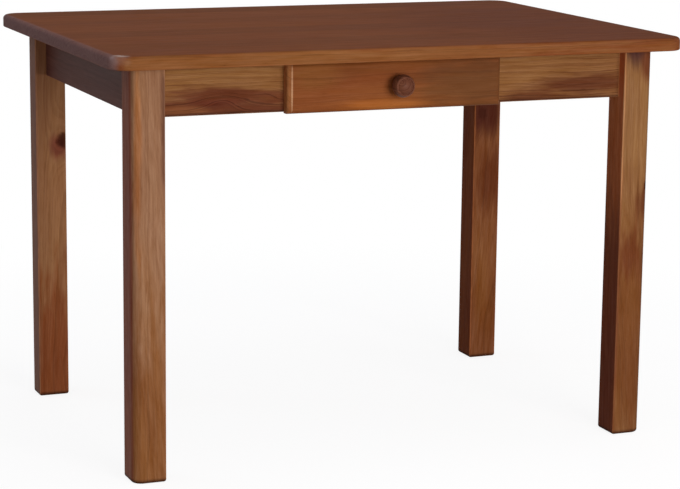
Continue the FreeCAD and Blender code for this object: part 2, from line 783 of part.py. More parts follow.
# Both sides take the same cuts, because the panels and the groove reach from the one into the other.
groove_at = ("drawer_centre - box_inside / 2 - groove_depth", "box_start", "groove_low")
groove = box("side_groove", ("box_inside + 2 * groove_depth", "box_depth", "groove_width"), groove_at)
rabbet_size = ("panel_width", "box_wall", "box_height")
rabbets = [box("rabbet", rabbet_size, ("panel_left", deep, "box_low")) for deep in ("box_start", BACK_PLACE)]
side_cuts = group("side_cuts", [groove, *rabbets, nail_bores])
for side, left in (("left", LEFT_SIDE), ("right", f"{RIGHT_SIDE} - box_wall")):
    blank = box_board(f"{side}_side", ("box_wall", "box_depth", "box_height"), (left, "box_stop", "box_low"))
    node(cut(f"drawer_side_{side}", blank, [side_cuts]))

blank = box_board("inner_front", rabbet_size, ("panel_left", "box_inner", "box_low"))
groove_size = ("panel_width", "groove_depth", "groove_width")
groove = box("front_groove", groove_size, ("panel_left", "box_inner - groove_depth", "groove_low"))
node(cut("drawer_inner_front", blank, [groove, front_bores, nail_bores]))

back_size = ("panel_width", "box_wall", "box_high - back_low")
blank = box_board("back", back_size, ("panel_left", "box_stop", "back_low"))
node(cut("drawer_back", blank, [nail_bores, bottom_bores]))

bottom_left = "drawer_centre - box_inside / 2 - groove_depth + bottom_gap"
bottom_start = "box_inner - groove_depth + bottom_gap"
bottom_width = "box_inside + 2 * groove_depth - 2 * bottom_gap"
bottom_size = (bottom_width, f"box_stop - ({bottom_start})", "bottom_thickness")
blank = box("bottom_blank", bottom_size, (bottom_left, bottom_start, "bottom_low"))
node(cut("drawer_bottom", blank, [bottom_bores]))
node(group("box_nails", box_nails))
node(group("bottom_nails", bottom_nails))

# ---------------------------------------------------------------- check and write
doc.recompute()
for thing in doc.Objects:
    if {"Invalid", "Error"} & set(thing.State):
        raise RuntimeError(f"{thing.Label} is {thing.State}")
for thing in nodes:
    if thing.Shape.isNull() or not thing.Shape.isValid() or not thing.Shape.Solids:
        raise RuntimeError(f"{thing.Label} has no valid solid")
os.makedirs("parts", exist_ok=True)
for thing in nodes:
    thing.Shape.exportStep(os.path.join("parts", f"{thing.Label}.step"))
print(f"{len(nodes)} nodes, {sum(len(thing.Shape.Solids) for thing in nodes)} solids")
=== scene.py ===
import math

import bpy
from mathutils import Euler, Matrix, Vector


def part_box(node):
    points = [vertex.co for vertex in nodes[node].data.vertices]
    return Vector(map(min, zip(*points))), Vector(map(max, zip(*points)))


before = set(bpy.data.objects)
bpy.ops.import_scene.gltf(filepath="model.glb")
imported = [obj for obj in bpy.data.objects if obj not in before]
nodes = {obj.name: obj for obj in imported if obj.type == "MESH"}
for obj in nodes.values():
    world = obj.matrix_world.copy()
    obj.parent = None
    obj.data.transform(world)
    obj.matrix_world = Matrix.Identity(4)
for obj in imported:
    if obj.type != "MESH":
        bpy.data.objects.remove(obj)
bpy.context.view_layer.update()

# ---------------------------------------------------------------- Legs
# Four square pine posts with the grain upright. The corner that faces out is well rounded, the others are
# only eased. Hanger bolts pull each post to its aprons. Walnut stain under satin lacquer.


def feed(tree, made, feeds):
    """Gives each named input of a node its number or colour, or the socket that feeds it."""
    for name, value in feeds.items():
        if isinstance(value, bpy.types.NodeSocket):
            tree.links.new(value, made.inputs[name])
        else:
            made.inputs[name].default_value = value


def wire(tree, kind, feeds=None, **settings):
    """Adds a shader node with its settings, feeds it, and returns its outputs."""
    made = tree.nodes.new("ShaderNode" + kind)
    for name, value in settings.items():
        setattr(made, name, value)
    feed(tree, made, feeds or {})
    return made.outputs


def calc(tree, operation, *values):
    """The result of a Math node."""
    return wire(tree, "Math", dict(enumerate(values)), operation=operation)[0]


def vector_calc(tree, operation, *values, result="Vector"):
    """The result of a Vector Math node."""
    return wire(tree, "VectorMath", dict(enumerate(values)), operation=operation)[result]


def stretch(tree, vector, scale):
    """A vector times a number."""
    return wire(tree, "VectorMath", {"Vector": vector, "Scale": scale}, operation="SCALE")[0]


def span(tree, value, first, last):
    """Goes evenly from first to last while the value goes from 0 to 1."""
    return calc(tree, "MULTIPLY_ADD", value, last - first, first)


def fade(tree, value, start, stop, first=0.0, last=1.0):
    """Goes softly from first to last while the value goes from start to stop."""
    feeds = {"Value": value, "From Min": start, "From Max": stop, "To Min": first, "To Max": last}
    return wire(tree, "MapRange", feeds, interpolation_type="SMOOTHSTEP")[0]


def lay(tree, share, under, over, way="MIX"):
    """Lays one colour over another. A Mix node has its colours in inputs 6 and 7 and in output 2."""
    return wire(tree, "Mix", {0: share, 6: under, 7: over}, data_type="RGBA", blend_type=way)[2]


def noise(tree, place, marks, detail=2.0, result="Fac", grit=0.5):
    """Noise with so many marks per metre along, across and through the wood. Grit brings out its finest."""
    spot = vector_calc(tree, "MULTIPLY", place, marks)
    feeds = {"Vector": spot, "Scale": 1.0, "Detail": detail, "Roughness": grit}
    return wire(tree, "TexNoise", feeds)[result]


def drift(tree, place, marks, detail, amount):
    """How far the wood strays from its line at each place, up to half the amount to either side."""
    strays = noise(tree, place, marks, detail, "Color")
    return stretch(tree, vector_calc(tree, "SUBTRACT", strays, (0.5, 0.5, 0.5)), amount)


def shader_group(name, takes, gives):
    """An empty shader node group: its tree, the sockets that come in, and the node for what goes out."""
    tree = bpy.data.node_groups.new(name, "ShaderNodeTree")
    for way, sockets in (("INPUT", takes), ("OUTPUT", gives)):
        for label, kind in sockets.items():
            tree.interface.new_socket(label, in_out=way, socket_type="NodeSocket" + kind)
    return tree, tree.nodes.new("NodeGroupInput").outputs, tree.nodes.new("NodeGroupOutput")


def use(tree, group, feeds):
    """Places a shader node group in a tree, feeds it, and returns its outputs."""
    return wire(tree, "Group", feeds, node_tree=group)


def stain(red, green, blue):
    """A colour given as it looks on a screen, 0 to 255, in the light values that shaders use."""
    screen = [channel / 255 for channel in (red, green, blue)]
    return (*(c / 12.92 if c < 0.04045 else ((c + 0.055) / 1.055) ** 2.4 for c in screen), 1.0)


# Rings, fibres and knots are placed in the tree, where X runs up the trunk and the pith is at Y = Z = 0.
ACROSS_TRUNK = (0, 1, 1)

# Growth rings: each darkens slowly into its late wood and ends more sharply.
RING_RIPPLE = 0.45  # how far a ring strays from round, in rings
CHANGES_OF_PACE = 110.0  # between slow and fast growth, per metre of radius
LEAD = 2.6  # how many rings the count may run ahead while growth is slow
LATE_WOOD_STARTS, LATE_WOOD_FULL, RING_ENDS = 0.25, 0.85, 0.86  # shares of a ring's width
tree, given, out = shader_group(
    "growth rings",
    {"Place": "Vector", "Ring Width": "Float", "Wander": "Float", "Swell": "Float"},
    {"Late Wood": "Float", "Ring Shade": "Float"},
)
sway = drift(tree, given["Place"], (2.6, 9, 9), 2, given["Wander"])
bent = vector_calc(tree, "MULTIPLY", vector_calc(tree, "ADD", given["Place"], sway), ACROSS_TRUNK)
radius = calc(tree, "ADD", vector_calc(tree, "LENGTH", bent, result="Value"), given["Swell"])
ripple = span(tree, noise(tree, given["Place"], (16, 110, 110)), -RING_RIPPLE, RING_RIPPLE)
years = calc(tree, "MULTIPLY", radius, CHANGES_OF_PACE)
growth = wire(tree, "TexNoise", {"W": years, "Scale": 1.0}, noise_dimensions="1D")[0]
growth = calc(tree, "MULTIPLY_ADD", growth, LEAD, ripple)
count = calc(tree, "ADD", calc(tree, "DIVIDE", radius, given["Ring Width"]), growth)
part = calc(tree, "FRACT", count)
darkens = fade(tree, part, LATE_WOOD_STARTS, LATE_WOOD_FULL)
late = calc(tree, "MULTIPLY", darkens, fade(tree, part, RING_ENDS, 1.0, 1.0, 0.0))
shade = wire(tree, "TexWhiteNoise", {"W": calc(tree, "FLOOR", count)}, noise_dimensions="1D")[0]
feed(tree, out, {"Late Wood": late, "Ring Shade": shade})
growth_rings = tree

# Fibres: fine lines, wider streaks that took more or less stain and waver along the grain, broad clouds,
# and short dark resin ducts.
tree, given, out = shader_group(
    "wood fibres",
    {"Place": "Vector", "Waver": "Float"},
    {"Fibre": "Float", "Streak": "Float", "Cloud": "Float", "Duct": "Float"},
)
sway = drift(tree, given["Place"], (5, 16, 16), 1, given["Waver"])
wavy = vector_calc(tree, "ADD", given["Place"], vector_calc(tree, "MULTIPLY", sway, ACROSS_TRUNK))
feed(tree, out, {
    "Fibre": noise(tree, wavy, (20, 560, 560), 3),
    "Streak": noise(tree, wavy, (11, 140, 140), 4, grit=0.72),
    "Cloud": noise(tree, wavy, (3.4, 22, 22), 2),
    "Duct": fade(tree, noise(tree, wavy, (55, 1300, 1300), 1), 0.68, 0.78),
})
wood_fibres = tree

# A knot: the foot of a branch that grew straight out of the pith. Its core is dark, and the rings bend round
# it. Both are longer up the trunk than across it.
CORE_OUTLINE, BEND_OUTLINE = (0.75, 1, 1), (0.42, 1, 1)
CORE_FULL, CORE_ENDS, BEND_REACH = 0.45, 1.25, 1.7  # in sizes of the knot
tree, given, out = shader_group(
    "knot",
    {"Place": "Vector", "Centre": "Vector", "Branch": "Vector", "Size": "Float"},
    {"Core": "Float", "Swell": "Float"},
)
away = vector_calc(tree, "SUBTRACT", given["Place"], given["Centre"])
reach = vector_calc(tree, "DOT_PRODUCT", away, given["Branch"], result="Value")
away = vector_calc(tree, "SUBTRACT", away, stretch(tree, given["Branch"], reach))
near = vector_calc(tree, "LENGTH", vector_calc(tree, "MULTIPLY", away, CORE_OUTLINE), result="Value")
ragged = span(tree, noise(tree, given["Place"], (130, 130, 130), 3), -0.5, 0.5)
near = calc(tree, "ADD", calc(tree, "DIVIDE", near, given["Size"]), ragged)
far = vector_calc(tree, "LENGTH", vector_calc(tree, "MULTIPLY", away, BEND_OUTLINE), result="Value")
far = calc(tree, "DIVIDE", far, calc(tree, "MULTIPLY", given["Size"], BEND_REACH))
hill = calc(tree, "EXPONENT", calc(tree, "MULTIPLY", calc(tree, "MULTIPLY", far, far), -1.0))
feed(tree, out, {
    "Core": fade(tree, near, CORE_FULL, CORE_ENDS, 1.0, 0.0),
    "Swell": calc(tree, "MULTIPLY", hill, given["Size"]),
})
knot = tree

# A patch of another colour: some are where the stain took in another way, others are painted light and shade.
# It is placed on the piece, and only Grain is a place in the tree: its border runs out along the grain, as
# far as Ragged says.
PATCH_FULL, PATCH_ENDS = 0.35, 1.3  # shares of its reach
tree, given, out = shader_group(
    "stain and light patch",
    {"Place": "Vector", "Grain": "Vector", "Centre": "Vector", "Reach": "Vector", "Ragged": "Float"},
    {"Mask": "Float"},
)
away = vector_calc(tree, "SUBTRACT", given["Place"], given["Centre"])
away = vector_calc(tree, "LENGTH", vector_calc(tree, "DIVIDE", away, given["Reach"]), result="Value")
ragged = span(tree, noise(tree, given["Grain"], (11, 70, 70), 3), -0.5, 0.5)
away = calc(tree, "MULTIPLY_ADD", ragged, given["Ragged"], away)
feed(tree, out, {"Mask": fade(tree, away, PATCH_FULL, PATCH_ENDS, 1.0, 0.0)})
stain_and_light_patch = tree

# Edge wear: a worn line along the edges of the piece's box from Low to High, where stain and lacquer are
# thinner. An edge is where two sides meet, so what counts is how far the second nearest side is.
WEAR_FULL, WEAR_ENDS, WEAR_UNEVEN = 0.3, 1.0, 0.45  # shares of the worn line's width
tree, given, out = shader_group(
    "edge wear",
    {"Place": "Vector", "Low": "Vector", "High": "Vector", "Width": "Float"},
    {"Wear": "Float"},
)
inside = vector_calc(
    tree, "MINIMUM",
    vector_calc(tree, "SUBTRACT", given["Place"], given["Low"]),
    vector_calc(tree, "SUBTRACT", given["High"], given["Place"]),
)
inside = wire(tree, "SeparateXYZ", {0: vector_calc(tree, "MAXIMUM", inside, (0, 0, 0))})
least = calc(tree, "MINIMUM", calc(tree, "MINIMUM", inside[0], inside[1]), inside[2])
most = calc(tree, "MAXIMUM", calc(tree, "MAXIMUM", inside[0], inside[1]), inside[2])
total = calc(tree, "ADD", calc(tree, "ADD", inside[0], inside[1]), inside[2])
second = calc(tree, "SUBTRACT", calc(tree, "SUBTRACT", total, least), most)
second = calc(tree, "DIVIDE", second, given["Width"])
uneven = span(tree, noise(tree, given["Place"], (35, 35, 35), 3), -WEAR_UNEVEN, WEAR_UNEVEN)
feed(tree, out, {"Wear": fade(tree, calc(tree, "ADD", second, uneven), WEAR_FULL, WEAR_ENDS, 1.0, 0.0)})
edge_wear = tree

# Pine as sawn and finished: the colour, sheen and relief that rings, fibres and knots give it.
STREAK_LIGHT, STREAK_FULLNESS = 0.7, -0.2  # what a streak does to the light and the fullness of the colour
STREAK_HUE, CLOUD_HUE, SAME_HUE = 0.008, 0.03, 0.5  # how far streaks and clouds turn the hue
DUCT_DARKNESS = 0.35
DUCT_DEPTH, LATE_WOOD_HEIGHT = 0.5, 0.35  # beside a fibre, which is 1 high
KNOT_STAIN = stain(140, 92, 84)  # what a knot's core leaves of the dark wood's colour
tree, given, out = shader_group(
    "pine surface",
    {
        "Place": "Vector", "Pale": "Color", "Dark": "Color", "Ring Width": "Float", "Ring Depth": "Float",
        "Wander": "Float", "Swell": "Float", "Core": "Float", "Waver": "Float", "Streaks": "Float",
        "Clouds": "Float", "Sheen": "Float",
    },
    {"Colour": "Color", "Roughness": "Float", "Height": "Float"},
)
rings = use(tree, growth_rings, {k: given[k] for k in ("Place", "Ring Width", "Wander", "Swell")})
fibres = use(tree, wood_fibres, {"Place": given["Place"], "Waver": given["Waver"]})
depth = calc(tree, "MULTIPLY", given["Ring Depth"], span(tree, rings["Ring Shade"], 0.4, 1.6))
colour = lay(tree, calc(tree, "MULTIPLY", rings["Late Wood"], depth), given["Pale"], given["Dark"])
streak = calc(tree, "MULTIPLY", span(tree, fibres["Streak"], -0.5, 0.5), given["Streaks"])
cloud = calc(tree, "MULTIPLY", span(tree, fibres["Cloud"], -0.5, 0.5), given["Clouds"])
bright = calc(tree, "MULTIPLY_ADD", streak, STREAK_LIGHT, 1.0)
bright = calc(tree, "MULTIPLY", span(tree, fibres["Fibre"], 0.87, 1.13), bright)
bright = calc(tree, "MULTIPLY", bright, calc(tree, "ADD", cloud, 1.0))
hue = calc(tree, "MULTIPLY_ADD", cloud, CLOUD_HUE, calc(tree, "MULTIPLY_ADD", streak, STREAK_HUE, SAME_HUE))
fullness = calc(tree, "MULTIPLY_ADD", streak, STREAK_FULLNESS, 1.0)
feeds = {"Color": colour, "Value": bright, "Hue": hue, "Saturation": fullness}
colour = wire(tree, "HueSaturation", feeds)[0]
ducts = calc(tree, "MULTIPLY", fibres["Duct"], DUCT_DARKNESS)
colour = lay(tree, ducts, colour, given["Dark"], "MULTIPLY")
colour = lay(tree, given["Core"], colour, lay(tree, 1.0, given["Dark"], KNOT_STAIN, "MULTIPLY"))
rough = calc(tree, "ADD", given["Sheen"], span(tree, fibres["Cloud"], -0.07, 0.07))
rough = calc(tree, "ADD", rough, span(tree, fibres["Fibre"], -0.06, 0.06))
relief = calc(tree, "MULTIPLY_ADD", rings["Late Wood"], LATE_WOOD_HEIGHT, fibres["Fibre"])
relief = calc(tree, "MULTIPLY_ADD", fibres["Duct"], -DUCT_DEPTH, relief)
feed(tree, out, {"Colour": colour, "Roughness": rough, "Height": relief})
pine_surface = tree


def new_finish(name):
    """A new material: itself, its tree, its shader, and the place on the piece in metres."""
    made = bpy.data.materials.new(name)
    made.use_nodes = True
    tree = made.node_tree
    return made, tree, tree.nodes["Principled BSDF"], tree.nodes.new("ShaderNodeTexCoord").outputs["Object"]


def bumps(tree, height, strength, distance):
    """The relief of a surface. A height of 1 stands out by the distance in metres."""
    return wire(tree, "Bump", {"Height": height, "Strength": strength, "Distance": distance})[0]


# The turn that lays each grain along the trunk's X.
GRAIN = {"X": (0, 0, 0), "Y": (0, 0, -math.pi / 2), "Z": (0, math.pi / 2, 0)}
LATE_PATCH = 0.76  # how light a patch's late wood is beside its early wood
WORN_LIGHT = 1.4  # how light a worn edge is beside the pale wood
FIBRE_RELIEF = 0.0002
THICK_COAT_ROUGHNESS = 0.25


def pine(name, grain, pith, pale, dark, ring=0.004, depth=0.4, wander=0.02, waver=0.01, streaks=1.0,
         clouds=0.5, lean=(0, 0), knots=(), patches=(), sheen=0.42, gloss=0.1, box=None, wear=0.0,
         wear_width=0.0025, lacquer=None):
    """A pine material, with its grain along X, Y or Z and the tree's pith through a point.

    Pale and dark are the colours of early and late wood, ring is the width of a growth ring, and depth is how
    far its late wood darkens. Rings wander, fibres waver, and the trunk leans by two angles in degrees.
    Streaks and clouds say how unevenly the stain took. Sheen is the roughness, gloss the specular level.
    A knot is its place, the way of its branch, its size, how far it bends the rings and how dark its core is.
    A patch is its middle, its reach each way, how ragged its border is and its colour.
    Lacquer is a patch where the coat lies thicker. In place of a colour it has the coat's weight.
    A box has the edges that wear, and then all places are measured from the middle of its underside.
    """
    made, tree, shader, coordinates = new_finish(name)
    origin, pith = Vector((0, 0, 0)), Vector(pith)
    if box:
        low, high = box
        origin = Vector(((low.x + high.x) / 2, (low.y + high.y) / 2, low.z))
    leaning = Euler([math.radians(angle) for angle in (0, *lean)]).to_matrix()
    turned = leaning @ Euler(GRAIN[grain]).to_matrix()
    mapping = {"Vector": coordinates, "Location": -(turned @ (origin + pith)), "Rotation": turned.to_euler()}
    place = wire(tree, "Mapping", mapping)[0]

    def spread(at, reach, ragged):
        """The mask of a patch."""
        feeds = {"Place": coordinates, "Grain": place, "Centre": origin + Vector(at), "Reach": reach}
        return use(tree, stain_and_light_patch, {**feeds, "Ragged": ragged})["Mask"]

    swell = core = 0.0
    for at, branch, size, bend, blackness in knots:
        centre, way = turned @ (Vector(at) - pith), (turned @ Vector(branch)).normalized()
        one = use(tree, knot, {"Place": place, "Centre": centre, "Branch": way, "Size": size})
        swell = calc(tree, "MULTIPLY_ADD", one["Swell"], bend, swell)
        core = calc(tree, "MAXIMUM", calc(tree, "MULTIPLY", one["Core"], blackness), core)
    light_wood, dark_wood = stain(*pale), stain(*dark)
    for at, reach, ragged, tint in patches:
        mask = spread(at, reach, ragged)
        light_wood = lay(tree, mask, light_wood, stain(*tint))
        dark_wood = lay(tree, mask, dark_wood, stain(*(channel * LATE_PATCH for channel in tint)))
    surface = use(tree, pine_surface, {
        "Place": place, "Pale": light_wood, "Dark": dark_wood, "Ring Width": ring, "Ring Depth": depth,
        "Wander": wander, "Swell": swell, "Core": core, "Waver": waver, "Streaks": streaks,
        "Clouds": clouds, "Sheen": sheen,
    })
    colour = surface["Colour"]
    if box:
        worn = use(tree, edge_wear, {"Place": coordinates, "Low": low, "High": high, "Width": wear_width})
        lighter = [min(255, channel * WORN_LIGHT) for channel in pale]
        colour = lay(tree, calc(tree, "MULTIPLY", worn["Wear"], wear), colour, stain(*lighter))
    feed(tree, shader, {
        "Base Color": colour, "Roughness": surface["Roughness"], "Specular IOR Level": gloss,
        "Normal": bumps(tree, surface["Height"], 0.5, FIBRE_RELIEF),
    })
    if lacquer:
        at, reach, ragged, weight = lacquer
        coat = calc(tree, "MULTIPLY", spread(at, reach, ragged), weight)
        feed(tree, shader, {"Coat Weight": coat, "Coat Roughness": THICK_COAT_ROUGHNESS})
    return made


def finish(material, *pieces):
    """Gives pieces their finish."""
    for piece in pieces:
        for slot in nodes[piece].material_slots:
            slot.material = material


# Places are measured from the middle of the foot. A patch that reaches 3 mm in X is on the left face only.
low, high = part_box("leg_front_left")
LEFT_FACE, FRONT_FACE = (low.x - high.x) / 2, (low.y - high.y) / 2
LEGS = {
    "leg_front_left": dict(
        pith=(-0.055, 0.05, 0.3), pale=(166, 121, 90), dark=(128, 85, 58), depth=0.3, lean=(3, 2),
        waver=0.02, streaks=1.3, gloss=0.01, wear=0.3,
        patches=[((0, 0, 0.06), (0.2, 0.2, 0.30), 1.7, (150, 97, 58)),
                 # Painted highlight: a warm bright line down the rounded corner, upper half.
                 ((-0.019, -0.024, 0.60), (0.007, 0.012, 0.24), 1.4, (178, 116, 72)),
                 ((0.027, FRONT_FACE, 0.64), (0.007, 0.03, 0.10), 2.2, (132, 90, 68)),
                 ((LEFT_FACE, 0, 0.40), (0.003, 0.05, 0.80), 0.6, (156, 90, 68))],
    ),
    "leg_front_right": dict(
        pith=(-0.075, 0.08, 0.3), pale=(158, 112, 71), dark=(118, 73, 44), depth=0.25, lean=(1, -2),
        waver=0.02, gloss=0.006, wear=0.2,
        knots=[((0.028, FRONT_FACE, 0.480), (0.5, -1, 0.1), 0.007, 1.3, 0.85)],
        patches=[((0, FRONT_FACE, 0.20), (0.15, 0.15, 0.30), 1.2, (131, 80, 46)),
                 # Painted shadow: the top of the front face is darker and cooler, where the tabletop's
                 # overhang shades it.
                 ((0.003, FRONT_FACE, 0.748), (0.07, 0.04, 0.048), 0.7, (92, 57, 50)),
                 ((0.023, FRONT_FACE, 0.706), (0.02, 0.04, 0.036), 1.2, (122, 68, 42)),
                 ((-0.009, FRONT_FACE, 0.345), (0.03, 0.05, 0.050), 1.7, (118, 64, 38)),
                 ((0.020, FRONT_FACE, 0.455), (0.018, 0.05, 0.035), 1.7, (116, 66, 40)),
                 ((LEFT_FACE, 0, 0.20), (0.003, 0.2, 0.50), 0.4, (128, 68, 46)),
                 # Painted light: the upper part of the left face is lighter, standing in for light that falls
                 # on it.
                 ((LEFT_FACE, 0, 0.66), (0.003, 0.2, 0.26), 0.9, (194, 110, 66)),
                 # A pale line down the inner front arris: worn stain with a painted highlight.
                 ((LEFT_FACE + 0.0009, FRONT_FACE + 0.0009, 0.62), (0.0022, 0.0022, 0.18), 0.8,
                  (204, 150, 106))],
    ),
    "leg_back_left": dict(
        pith=(0.045, -0.10, 0.3), pale=(164, 114, 78), dark=(126, 82, 54), depth=0.3, lean=(-1, 1),
        waver=0.014, streaks=0.8, gloss=0.008, wear=0.4,
        knots=[((0.026, FRONT_FACE, 0.517), (0.4, -1, 0.1), 0.014, 1.3, 0.8)],
        patches=[((0.015, FRONT_FACE, 0.503), (0.020, 0.03, 0.026), 1.2, (134, 72, 54)),
                 ((0, FRONT_FACE, 0.04), (0.09, 0.09, 0.24), 1.7, (144, 80, 48)),
                 ((LEFT_FACE, 0, 0.40), (0.003, 0.2, 0.60), 0.5, (152, 104, 84))],
    ),
    "leg_back_right": dict(
        pith=(0.045, -0.11, 0.3), pale=(152, 93, 58), dark=(114, 62, 38), depth=0.3, lean=(-2, 2),
        waver=0.024, streaks=1.1, clouds=0.8, gloss=0.006, wear=0.7, wear_width=0.0028,
        knots=[((-0.013, FRONT_FACE, 0.530), (0.1, -1, 0), 0.012, 1.6, 0.3)],
        patches=[((-0.005, FRONT_FACE, 0.53), (0.05, 0.05, 0.055), 1.2, (100, 50, 36)),
                 ((0.012, FRONT_FACE, 0.39), (0.03, 0.05, 0.07), 1.7, (126, 68, 40)),
                 ((0.003, FRONT_FACE, 0.12), (0.03, 0.05, 0.10), 1.7, (142, 82, 44)),
                 ((LEFT_FACE, 0, 0.30), (0.003, 0.2, 0.60), 0.4, (132, 69, 40))],
    ),
}
# The feet are darker at the bottom: painted shade where their lower edges face the floor. That patch lies low
# under the whole table, so its middle is the table's own.
FOOT_HEIGHT, FOOT_SHADE = 0.008, (74, 42, 28)
for name, looks in LEGS.items():
    low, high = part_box(name)
    table_middle = (-(low.x + high.x) / 2, -(low.y + high.y) / 2, 0)
    looks["patches"].append((table_middle, (2, 2, FOOT_HEIGHT), 0.2, FOOT_SHADE))
    finish(pine(name, "Z", box=(low, high), **looks), name)

# ---------------------------------------------------------------- Aprons
# Four boards on edge, doweled into the legs. The front one has a window for the drawer and was sawn through
# the heart of the tree, so its lower half took the stain darker. The others are plainer boards.

low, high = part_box("apron_front")
APRON_FACE = (low.y - high.y) / 2
APRONS = {
    "apron_front": dict(
        grain="X", pith=(0, 0.017, -0.061), pale=(154, 106, 64), dark=(112, 66, 40), ring=0.0048, depth=0.6,
        wander=0.035, waver=0.018, gloss=0.01,
        knots=[((-0.335, APRON_FACE, 0.026), (0, -1, 0), 0.012, -1.6, 0),
               ((-0.250, APRON_FACE, 0.038), (0, -1, 0), 0.008, -1.4, 0)],
        patches=[((-0.345, APRON_FACE, 0.012), (0.20, 0.05, 0.036), 1.9, (118, 66, 44)),
                 ((-0.345, APRON_FACE, 0.027), (0.06, 0.05, 0.016), 0.8, (112, 56, 38)),
                 ((-0.335, APRON_FACE, 0.035), (0.105, 0.05, 0.011), 1.1, (114, 62, 39)),
                 ((-0.405, APRON_FACE, 0.010), (0.05, 0.05, 0.010), 1.8, (142, 86, 54)),
                 ((0.375, APRON_FACE, 0.026), (0.12, 0.05, 0.022), 1.6, (114, 66, 42)),
                 ((0.270, APRON_FACE, 0.009), (0.07, 0.05, 0.012), 1.6, (118, 68, 40)),
                 # Painted shade: the last patch is a thin dark line along the bottom edge.
                 ((0, APRON_FACE, 0), (2, 0.05, 0.005), 0.3, (84, 48, 34))],
    ),
    "apron_back": dict(grain="X", pith=(0, -0.067, -0.026), pale=(146, 98, 62), dark=(108, 64, 40)),
    # Painted shade and a painted cool reflection: the left apron is darker and cooler than the others.
    "apron_left": dict(
        grain="Y", pith=(-0.128, 0, -0.046), pale=(106, 64, 54), dark=(86, 48, 41), gloss=0.012,
    ),
    "apron_right": dict(grain="Y", pith=(0.078, 0, 0.074), pale=(140, 90, 56), dark=(104, 62, 40)),
}
for name, looks in APRONS.items():
    finish(pine(name, box=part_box(name), wear=0.35, wear_width=0.002, **looks), name)

# ---------------------------------------------------------------- Corner joints
# Beech dowels and glue hold the aprons in the legs. Across each inner corner a pine block is screwed to both
# aprons, and a hanger bolt with a washer and a nut draws the leg to it.

# Plating: a thin zinc coat, brighter and duller in patches, with fine scratches from tumbling.
tree, given, out = shader_group(
    "plating",
    {"Place": "Vector", "Bright": "Color", "Dull": "Color", "Polish": "Float"},
    {"Colour": "Color", "Roughness": "Float", "Height": "Float"},
)
blotch = noise(tree, given["Place"], (260, 260, 260), 3)
scratch = noise(tree, given["Place"], (900, 2600, 2600), 2)
rough = calc(tree, "ADD", given["Polish"], span(tree, blotch, -0.12, 0.13))
feed(tree, out, {
    "Colour": lay(tree, fade(tree, blotch, 0.35, 0.7), given["Bright"], given["Dull"]),
    "Roughness": calc(tree, "ADD", rough, span(tree, scratch, 0.0, 0.15)),
    "Height": scratch,
})
plating = tree
SCRATCH_RELIEF = 0.00005


def plated(name, bright, dull, polish):
    """A steel material with its plating."""
    made, tree, shader, coordinates = new_finish(name)
    feeds = {"Place": coordinates, "Bright": stain(*bright), "Dull": stain(*dull), "Polish": polish}
    surface = use(tree, plating, feeds)
    feed(tree, shader, {
        "Base Color": surface["Colour"], "Roughness": surface["Roughness"], "Metallic": 1.0,
        "Normal": bumps(tree, surface["Height"], 0.3, SCRATCH_RELIEF),
    })
    return made


BARE = dict(pale=(214, 176, 128), dark=(182, 134, 86), ring=0.0035, depth=0.6, sheen=0.6, gloss=0.2)
BEECH = dict(pale=(206, 164, 124), dark=(184, 138, 98), ring=0.0022, depth=0.35, wander=0.004, streaks=0.5,
             clouds=0.2, sheen=0.55, gloss=0.25)
finish(pine("beech_across", "X", pith=(0, 0.1, 0.6), **BEECH), "apron_dowels")
corner_blocks = [name for name in nodes if name.startswith("corner_block")]
finish(pine("bare_pine_upright", "Z", pith=(0.1, 0.4, 0), **BARE), *corner_blocks)
bright_zinc = plated("bright_zinc", (206, 208, 210), (168, 172, 176), 0.36)
yellow_zinc = plated("yellow_zinc", (214, 184, 112), (176, 150, 96), 0.34)
finish(bright_zinc, "hanger_bolts", "bolt_washers", "bolt_nuts")
finish(yellow_zinc, "block_screws")

# ---------------------------------------------------------------- Tabletop
# Eight pine boards glued edge to edge, rounded along the upper edge and at the corners. Beech buttons,
# screwed up into the boards, reach into slots in the aprons and let the top swell and shrink.

top_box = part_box("tabletop_board_1")[0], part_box("tabletop_board_8")[1]
left, front, right, thickness = top_box[0].x, top_box[0].y, top_box[1].x, top_box[1].z - top_box[0].z
# The front edge is paler: painted light. The left end is paler and cooler: a painted cool reflection. The
# right end is darker, and lacquer ran together at one corner.
front_edge_painted_light = ((left + 0.10, front, 0.008), (1.0, 0.007, 0.04), 1.7, (148, 94, 54))
left_end_painted_reflection = ((left, 0, 0.010), (0.012, 3, 0.03), 0.3, (149, 112, 106))
right_end = ((right - 0.05, -0.05, thickness), (0.42, 0.50, 0.012), 0.6, (124, 68, 42))
corner_lacquer = ((left + 0.011, front + 0.005, thickness - 0.003), (0.020, 0.027, 0.013), 0.6, 0.9)
BOARD_PALE, BOARD_DARK = (139, 79, 46), (118, 64, 38)
BOARD_TONES = (1.0, 0.97, 1.02, 0.97, 1.03, 0.99, 1.02, 0.94)
for number, tone in enumerate(BOARD_TONES, start=1):
    name = f"tabletop_board_{number}"
    low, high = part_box(name)
    # Each board was sawn from another place above the pith.
    pith = (0, (low.y + high.y) / 2 + 0.03 * (number % 3 - 1), -0.046 - 0.02 * (number % 4))
    at_front = number == 1
    finish(pine(
        name, "X", pith=pith, pale=[tone * channel for channel in BOARD_PALE],
        dark=[tone * channel for channel in BOARD_DARK], depth=0.35, streaks=0.9, clouds=0.25,
        lean=(0.4, -0.3), sheen=0.6, gloss=0.006, box=top_box, wear=0.15, wear_width=0.004,
        patches=[right_end, front_edge_painted_light, left_end_painted_reflection] if at_front else [right_end, left_end_painted_reflection],
        lacquer=corner_lacquer if at_front else None,
    ), name)
finish(pine("beech_button", "Y", pith=(0.1, 0, 0.6), **BEECH), "top_buttons")
finish(yellow_zinc, "top_button_screws")

